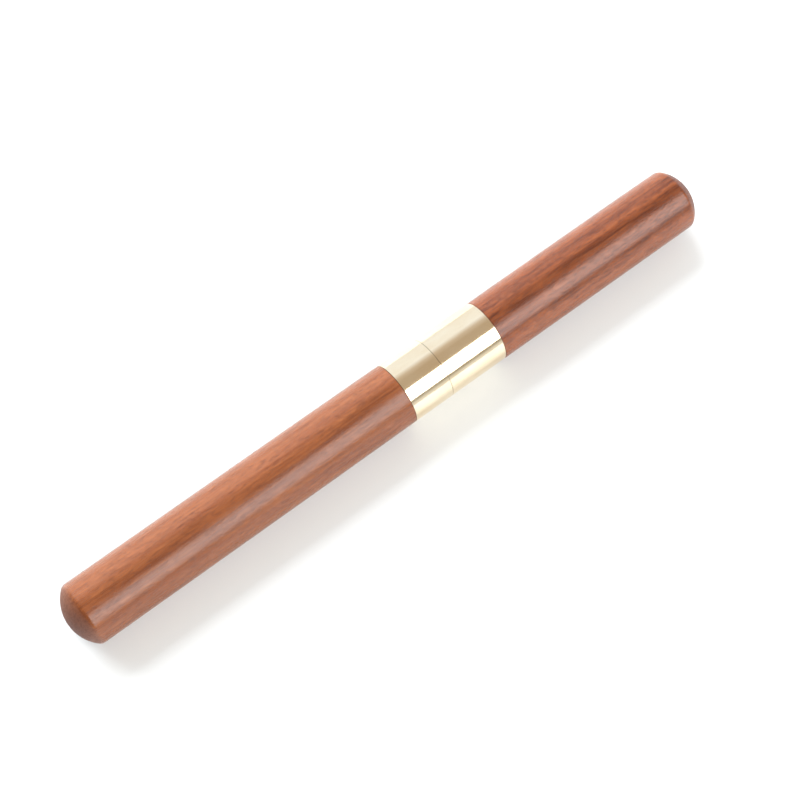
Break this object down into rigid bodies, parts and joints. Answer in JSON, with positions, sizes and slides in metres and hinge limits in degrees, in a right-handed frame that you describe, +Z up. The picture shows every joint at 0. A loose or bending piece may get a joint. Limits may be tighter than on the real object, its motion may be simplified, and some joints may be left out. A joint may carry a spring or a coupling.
{
  "type": "capped dip pen holder",
  "caption": "Round wooden dip pen holder with a screw cap over its nib, brass rings at the joint and softly domed ends.",
  "frame": {"origin": "middle of the closed pen's length, on the surface it lies on", "axes": "+X along the pen from the handle's end to the cap's end, +Z up with the pen lying down and the nib's back upwards"},
  "size_m": [0.16, 0.014, 0.014],
  "materials": {
    "handle_wood": "oiled rosewood, satin",
    "cap_wood": "oiled rosewood, darker streaks, satin",
    "brass": "pale brass, turned and polished",
    "steel": "bright spring steel",
    "rubber": "black, matt"
  },
  "bodies": {
    "holder": {"handle_shaft": "handle_wood", "handle_collar": "brass", "collar_o_ring": "rubber", "section_core": "brass", "grip_sleeve": "handle_wood", "nib_ferrule": "brass", "nib_claws": "steel", "crow_quill_socket": "brass"},
    "nib": {"nib": "steel"},
    "cap_lining": {"cap_liner": "brass"},
    "cap": {"cap_collar": "brass", "cap_shell": "cap_wood"}
  },
  "joints": [
    {"name": "nib_pull", "type": "slide", "parent": "holder", "child": "nib", "axis": [1, 0, 0], "range_m": [0, 0.01]},
    {"name": "cap_pull", "type": "slide", "parent": "holder", "child": "cap_lining", "axis": [1, 0, 0], "range_m": [0, 0.07]},
    {"name": "cap_turn", "type": "hinge", "parent": "cap_lining", "child": "cap", "pos_m": [0.045, 0, 0.00698], "axis": [1, 0, 0], "continuous": true}
  ]
}
